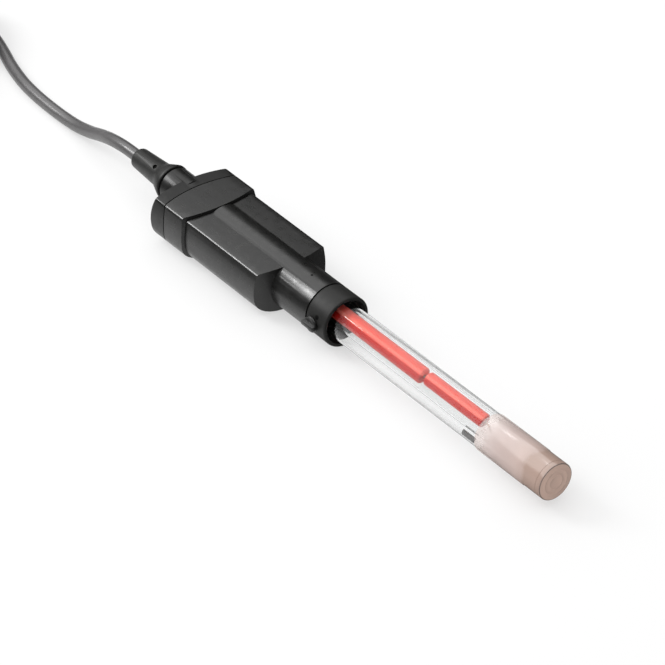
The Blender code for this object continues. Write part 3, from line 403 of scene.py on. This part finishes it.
def catmull_rom(points, spacing):
    """Points at an even spacing on a smooth curve through the given ones."""
    points = [Vector(p) for p in points]
    padded = [2 * points[0] - points[1]] + points + [2 * points[-1] - points[-2]]
    fine = 40
    dense = []
    for i in range(1, len(padded) - 2):
        a, b, c, e = padded[i - 1:i + 3]
        for j in range(fine):
            t = j / fine
            dense.append(0.5 * ((2 * b) + (c - a) * t + (2 * a - 5 * b + 4 * c - e) * t * t
                                + (3 * b - a - 3 * c + e) * t ** 3))
    dense.append(points[-1])
    steps = [(dense[i + 1] - dense[i]).length for i in range(len(dense) - 1)]
    count = max(2, round(sum(steps) / spacing))
    gap = sum(steps) / count
    result, travelled, target = [dense[0]], 0.0, gap
    for i, step in enumerate(steps):
        while travelled + step >= target - 1e-9 and len(result) < count:
            result.append(dense[i].lerp(dense[i + 1], (target - travelled) / step))
            target += gap
        travelled += step
    result.append(dense[-1])
    return result


# Camera

def make_camera():
    data = bpy.data.cameras.new("camera")
    data.sensor_width = SENSOR_WIDTH
    data.lens = FOCAL_LENGTH / PHOTO_SIZE * SENSOR_WIDTH
    data.clip_start = 0.01
    data.clip_end = 20.0
    camera = bpy.data.objects.new("camera", data)
    scene.collection.objects.link(camera)
    camera.location = CAMERA_PLACE * MM
    camera.rotation_euler = CAMERA_WAY.to_track_quat("-Z", "Y").to_euler()
    scene.camera = camera


make_camera()


# Cable and plug

def cable_points():
    """The route from the boot to the coil, the wound turns and the bend into the plug's boot."""
    exit_x = NECK_FACE_X - 98.3
    run = [(0.0, 0.0, 11.3), (-1.5, 0.0, 11.3), (-8.0, 0.0, 11.1), (-15.0, 0.3, 9.9), (-22.0, 0.9, 7.7),
           (-29.0, 1.3, 5.2), (-37.0, 1.6, 3.2), (-45.0, 1.8, 2.3), (-54.0, 1.9, 2.1), (-63.0, 2.3, 2.1),
           (-72.0, 3.4, 2.1), (-82.0, 5.7, 2.1), (-90.0, 8.2, 2.1), (-98.5, 10.6, 2.1), (-107.5, 12.35, 2.1)]
    points = [Vector((exit_x + x, y, z)) for x, y, z in run]
    outer, inner = COIL_R + TURN_HALF, COIL_R - TURN_HALF
    last_angle, angle_step, change = 2220, 15, 45
    # angles after the first tangent point at which the cable starts to change radius or layer
    moves = [(290, inner, 0), (635, None, 1), (980, outer, 0), (1325, None, 1), (1670, inner, 0),
             (2015, None, 1)]
    for angle in range(0, last_angle + 1, angle_step):
        radius, height = outer, CABLE_R
        for start, new_radius, layers in moves:
            share = ease((angle - start) / change)
            if new_radius:
                radius += (new_radius - radius) * share
            height += LAYER * layers * share
        turn = math.radians(90 + angle)
        points.append(COIL_CENTRE + Vector((radius * math.cos(turn), radius * math.sin(turn), height)))
    tail = [(-21.5, 4.5, 15.0), (-24.5, -1.6, 15.9), (-26.3, -8.8, 17.8), (-24.6, -14.2, 19.4),
            (-21.2, -16.7, 20.1), (-17.3, -17.0, 20.1)]
    points += [COIL_CENTRE + Vector(p) for p in tail]
    return points


def make_cable():
    """The whole cable as one round curve, with the place where it leaves the boot and its length."""
    points = catmull_rom(cable_points(), CABLE_SPACING)
    curve = bpy.data.curves.new("cable", "CURVE")
    curve.dimensions = "3D"
    curve.bevel_depth = CABLE_R * MM
    curve.bevel_resolution = 5
    curve.use_fill_caps = True
    spline = curve.splines.new("POLY")
    spline.points.add(len(points) - 1)
    for knot, point in zip(spline.points, points):
        knot.co = (*(point * MM), 1.0)
    spline.use_smooth = True
    cable = bpy.data.objects.new("cable", curve)
    place_piece(cable, "electrode", jacket, "cable_run", "cable_coil", "cable_tail")
    length = sum((points[i + 1] - points[i]).length for i in range(len(points) - 1)) * MM
    return cable, points[0] * MM, length


def make_plug():
    pieces = [dress("plug_grip", "electrode", black_plastic, 0.00012),
              dress("plug_boot", "electrode", boot_rubber, 0.00012),
              dress("plug_sleeve", "electrode", nickel, 0.0001),
              dress("plug_insert", "electrode", black_plastic, 0.0001)]
    for number in range(1, 6):
        pieces.append(dress("plug_pin_%d" % number, "electrode", nickel))
    return pieces


def make_tie():
    """A strap round all the coil's turns, opposite the plug."""
    thick, width, slack, steps = 0.7, 3.0, 0.12, 72
    inner_floor, outer_floor = 0.08, 0.02
    # the turns at the corners of the coil's section
    centres = [(-TURN_HALF, CABLE_R), (TURN_HALF, CABLE_R), (TURN_HALF, CABLE_R + 2 * LAYER),
               (-TURN_HALF, CABLE_R + 3 * LAYER)]
    outlines = []
    for reach, lowest in ((CABLE_R + slack, inner_floor), (CABLE_R + slack + thick, outer_floor)):
        outline = []
        for i in range(steps):
            turn = 2 * math.pi * i / steps
            u, v = math.cos(turn), math.sin(turn)
            y, z = max(centres, key=lambda c: c[0] * u + c[1] * v)
            outline.append((y + reach * u, max(z + reach * v, lowest)))
        outlines.append(outline)
    build = bmesh.new()
    loops = []
    for dx in (-width / 2, width / 2):
        for outline in outlines:
            loops.append([build.verts.new(((COIL_CENTRE.x + dx) * MM, (COIL_CENTRE.y + COIL_R + y) * MM,
                                           z * MM)) for y, z in outline])
    inner_a, outer_a, inner_b, outer_b = loops
    for first, second in ((inner_a, outer_a), (outer_a, outer_b), (outer_b, inner_b), (inner_b, inner_a)):
        for i in range(steps):
            j = (i + 1) % steps
            build.faces.new((first[i], first[j], second[j], second[i]))
    bmesh.ops.recalc_face_normals(build, faces=build.faces)
    mesh = finish_mesh(build, "coil_tie", angle=40)
    return place_piece(bpy.data.objects.new("coil_tie", mesh), "electrode", tie_plastic)


cable, cable_exit, cable_length = make_cable()
plug_pieces = make_plug()
tie = make_tie()


# Head and collar

def make_inner_parts():
    dress("cable_core", "electrode", jacket)
    dress("cable_crimp", "electrode", nickel, 0.0001)
    dress("circuit_board", "electrode", board_green)
    for chip in ("amplifier_chip", "memory_chip", "regulator_chip"):
        dress(chip, "electrode", chip_resin, 0.0001)
    for metal in ("board_contacts", "glass_lead", "reference_lead"):
        dress(metal, "electrode", nickel)


def hole_shade_disc(name, x, angle, surface, radius):
    """A black disc of painted shade where the mouth of a small blind hole would be, on a round piece about
    the electrode's axis.

    x is a world place, the angle counts from straight up to the left, and surface is the piece's radius.
    """
    proud, depth, steps = 0.02, 0.2, 20
    turn = math.radians(angle)
    out = Vector((0.0, -math.sin(turn), math.cos(turn)))
    side = Vector((0.0, out.z, -out.y))
    centre = Vector((x, 0.0, AXIS_Z)) + out * surface
    build = bmesh.new()
    tops, feet = [], []
    for i in range(steps):
        a = 2 * math.pi * i / steps
        rim = centre + Vector((math.cos(a), 0.0, 0.0)) * radius + side * math.sin(a) * radius
        drop = surface - math.sqrt(surface ** 2 - (math.sin(a) * radius) ** 2)
        tops.append(build.verts.new((rim + out * (proud - drop)) * MM))
        feet.append(build.verts.new((rim - out * (depth + drop)) * MM))
    for i in range(steps):
        j = (i + 1) % steps
        build.faces.new((tops[i], tops[j], feet[j], feet[i]))
    build.faces.new(feet)
    build.faces.new(tops)
    bmesh.ops.recalc_face_normals(build, faces=build.faces)
    return place_piece(bpy.data.objects.new(name, finish_mesh(build, name)), "electrode", painted_hole_shade)


head = dress("head_body", "electrode", black_plastic, 0.00034)
band = dress("head_band", "electrode", black_plastic, 0.00022)
cover = dress("rear_cover", "electrode", cover_plastic, 0.0003)
boot = dress("cable_boot", "electrode", boot_rubber, 0.00018)
make_inner_parts()
collar = dress("shaft_collar", "electrode", collar_rubber, 0.00015)
stopper = dress("filling_stopper", "stopper", black_plastic, 0.0001)
# black discs of painted shade for a dimple in the neck and a hole in the collar
hole_shade_disc("neck_dimple_shade", -11.05, 3, 8.38, 0.42)
hole_shade_disc("collar_hole_shade", 1.15, 70, 8.45, 0.75)


# Glass shaft and cap

def make_shaft():
    """The clear tube, open at its rounded end round the sensing bulb."""
    mouth, rear = 4.4, -14.0
    shoulder = SHAFT_RADIUS - mouth
    bore = SHAFT_RADIUS - SHAFT_WALL
    profile = [(mouth, SHAFT_END)]
    profile += arc((SHAFT_RADIUS - shoulder, SHAFT_END - shoulder), shoulder, 75, 0, 8)
    profile += [(SHAFT_RADIUS, rear), (bore, rear), (bore, SHAFT_END - shoulder),
                (mouth, SHAFT_END - SHAFT_WALL)]
    lathe("shaft_glass_look", profile, "electrode", clear_glass, "shaft_glass")


def make_stem():
    """The thin inner tube, on its raised axis, with a neck at its front end."""
    end, rear, neck, neck_length, taper_length, steps = 97.5, -11.7, 2.6, 4.0, 2.4, 8
    taper = end - neck_length
    bore, neck_bore = STEM_RADIUS - STEM_WALL, neck - STEM_WALL
    profile = [(neck_bore, end), (neck, end), (neck, taper + taper_length)]
    for i in range(1, steps):
        share = i / steps
        profile.append((neck + (STEM_RADIUS - neck) * ease(share), taper + taper_length * (1 - share)))
    profile += [(STEM_RADIUS, taper), (STEM_RADIUS, rear), (bore, rear), (bore, taper)]
    for i in range(1, steps):
        share = i / steps
        profile.append((bore + (neck_bore - bore) * ease(share), taper + taper_length * share))
    profile.append((neck_bore, taper + taper_length))
    lathe("inner_stem_look", profile, "electrode", clear_glass, "inner_stem", axis_z=AXIS_Z + STEM_RISE)


def make_rods():
    """The two red rods, end to end under the stem's roof, with round edges and a flat on each end."""
    roof = AXIS_Z + STEM_RISE + STEM_RADIUS - STEM_WALL - ROD_GAP
    flat, edge = 0.7, 0.8
    for name, start, end, radius in (("upper_red_rod", -6.0, 47.6, 2.4), ("lower_red_rod", 49.0, 75.7, 2.0)):
        profile = [(flat, end), (radius - edge, end)]
        profile += arc((radius - edge, end - edge), edge, 68, 0, 6)
        profile += arc((radius - edge, start + edge), edge, 0, -90, 6)
        profile += [(flat, start)]
        red_glass = make_red(name + "_glass", roof - radius)
        lathe(name + "_look", profile, "electrode", red_glass, name, axis_z=roof - radius, steps=64, angle=32)


def make_cap():
    """A thin sleeve with a closed end that steps in, with a fine groove near it and two rings on its face."""
    inner, wall, step = 6.05, 0.2, 0.14
    outer = inner + wall
    end_radius = outer - step
    chamfer, ridge, groove, floor = 0.35, 0.18, 0.1, 103.95
    face = CAP_FRONT - ridge
    profile = [(0.0, face)]
    for ring in (2.3, 4.1):
        profile += [(ring - 0.4, face), (ring - 0.2, CAP_FRONT - 0.06), (ring, CAP_FRONT),
                    (ring + 0.2, CAP_FRONT - 0.06), (ring + 0.4, face)]
    profile += [(end_radius - chamfer, face), (end_radius - 0.1, face - 0.1), (end_radius, face - chamfer),
                (end_radius, 104.2), (end_radius - groove, 104.1), (end_radius, 104.0)]
    profile += [(end_radius, 98.0), (outer - 0.08, 97.55), (outer, 97.3), (outer, CAP_REAR + 0.25),
                (outer - 0.12, CAP_REAR), (inner, CAP_REAR)]
    profile += [(inner, floor - 3.4), (inner - 0.15, floor - 2.3), (inner - 0.5, floor - 1.2),
                (inner - 1.0, floor - 0.4), (inner - 1.6, floor), (0.0, floor)]
    return lathe("tip_cap_look", profile, "tip_cap", cap_rubber, "tip_cap", closed=False, angle=40)


make_shaft()
make_stem()
dress("sensing_bulb", "electrode", membrane)
make_rods()
dress("upper_silver_wire", "electrode", wire_metal)
dress("lower_silver_wire", "electrode", wire_metal)
dress("junction_pin", "electrode", ceramic, 0.0001)
dress("stem_plug", "electrode", collar_rubber)
cap = make_cap()


# Floor and light

def make_floor():
    """A white floor that glows, so that its shadows stay as soft as in the photo.

    Mirror rays find it dark to the right and far out at the left, as between black cards. Rays that only
    went through the outer tube, at its edges, find a dark band at the right.
    """
    half_size, gap = 4.0, 0.00002
    albedo, shadow = 0.33, 0.05
    glow, mirror_glow = 0.56, 0.66
    right_dark, left_dark, band_dark = 0.95, 0.85, 0.72
    build = bmesh.new()
    bmesh.ops.create_grid(build, x_segments=1, y_segments=1, size=half_size)
    mesh = finish_mesh(build, "floor")
    floor = bpy.data.objects.new("floor", mesh)
    floor.location.z = -gap
    mat, tree, shader = node_material("floor_white")
    shader.inputs["Base Color"].default_value = (albedo, albedo, albedo, 1.0)
    shader.inputs["Roughness"].default_value = 0.9
    shader.inputs["Specular IOR Level"].default_value = 0.0
    shader.inputs["Emission Color"].default_value = (1.0, 1.0, 1.0, 1.0)
    path = tree.nodes.new("ShaderNodeLightPath").outputs
    strength = remap(tree, path["Is Glossy Ray"], glow, mirror_glow)
    tree.links.new(strength, shader.inputs["Emission Strength"])
    place = object_place(tree)
    right = remap(tree, side_of(tree, (0.35, 0.94, 0.0), place), 0.0, right_dark, -0.014, 0.006)
    left = remap(tree, side_of(tree, (0.0, -1.0, 0.0), place), 0.0, left_dark, 0.030, 0.0415)
    mirror_ray = combine(tree, "SUBTRACT", path["Is Glossy Ray"], path["Is Transmission Ray"], clamp=True)
    in_mirror = multiply(tree, combine(tree, "ADD", right, left), mirror_ray)
    y = split_xyz(tree, place)["Y"]
    band_start = remap(tree, y, 0.0, band_dark, 0.018, 0.021)
    band_end = remap(tree, y, 1.0, 0.0, 0.028, 0.033)
    band = multiply(tree, band_start, band_end)
    few_walls = remap(tree, path["Transmission Depth"], 1.0, 0.0, 4.5, 5.5)
    in_glass = multiply(tree, multiply(tree, band, few_walls), path["Is Transmission Ray"])
    dark = add_node(tree, "ShaderNodeBsdfDiffuse", Color=(shadow, shadow, shadow, 1.0))
    mix_surface(tree, combine(tree, "ADD", in_mirror, in_glass, clamp=True), shader, dark)
    mesh.materials.append(mat)
    scene.collection.objects.link(floor)


def make_world():
    """White for the camera and through glass, a soft bank at the left and above for everything else."""
    world = bpy.data.worlds.new("world")
    scene.world = world
    world.use_nodes = True
    tree = world.node_tree
    base = tree.nodes["Background"]
    base.inputs["Color"].default_value = (1.0, 1.0, 1.0, 1.0)
    way = tree.nodes.new("ShaderNodeTexCoord").outputs["Generated"]
    parts = split_xyz(tree, way)
    path = tree.nodes.new("ShaderNodeLightPath").outputs
    spread = remap(tree, side_of(tree, (-0.60, -0.30, 0.74), way), DIM, BRIGHT, -0.2, 1.0)
    bank = remap(tree, side_of(tree, (0.0, -0.77, 0.64), way), 0.02, GLOSS_SKY, -0.055, 0.075)
    above = remap(tree, parts["Z"], 0.02, 1.0, 0.42, 0.57)
    # a dark card towards the rear, for the mirrored rays of clear glass; inner pieces find the sky
    card = remap(tree, parts["X"], 0.12, 1.0, -0.52, -0.36)
    upwards = remap(tree, path["Diffuse Depth"], card, 1.25)
    through = remap(tree, parts["Z"], 1.0, upwards, 0.1, 0.3)
    level = spread
    for kind, value in (("Is Glossy Ray", multiply(tree, bank, above)), ("Is Singular Ray", card),
                        ("Is Camera Ray", 1.0), ("Is Transmission Ray", through)):
        level = mix(tree, "FLOAT", path[kind], level, value)
    tree.links.new(level, base.inputs["Strength"])


def soft_light(name, direction, distance, size, radiance, mirror_only=False, receivers=(),
               target=(-0.03, 0.0, 0.01)):
    """A rectangular lamp that faces the target; size is (width, height) in metres."""
    data = bpy.data.lights.new(name, "AREA")
    data.shape = "RECTANGLE"
    data.size, data.size_y = size
    data.energy = radiance * math.pi * size[0] * size[1]
    lamp = bpy.data.objects.new(name, data)
    scene.collection.objects.link(lamp)
    towards = Vector(direction).normalized()
    lamp.location = Vector(target) + towards * distance
    lamp.rotation_euler = towards.to_track_quat("Z", "Y").to_euler()
    lamp.visible_diffuse = not mirror_only
    lamp.visible_glossy = mirror_only
    if receivers:
        group = bpy.data.collections.new(name + "_receivers")
        for obj in receivers:
            group.objects.link(obj)
        lamp.light_linking.receiver_collection = group


make_floor()
make_world()
soft_light("key", (-0.64, -0.40, 0.62), 0.9, (0.30, 0.40), 9.0)
soft_light("key_mirror", (-0.64, -0.47, 0.62), 0.9, (0.25, 0.27), 28.0, mirror_only=True,
           receivers=(head, band, cover, boot, collar, stopper, cable))
soft_light("cap_strip", (-0.64, 0.18, 0.745), 0.9, (0.16, 0.16), 4.5, mirror_only=True, receivers=(cap,),
           target=(0.088, 0.0, 0.0086))
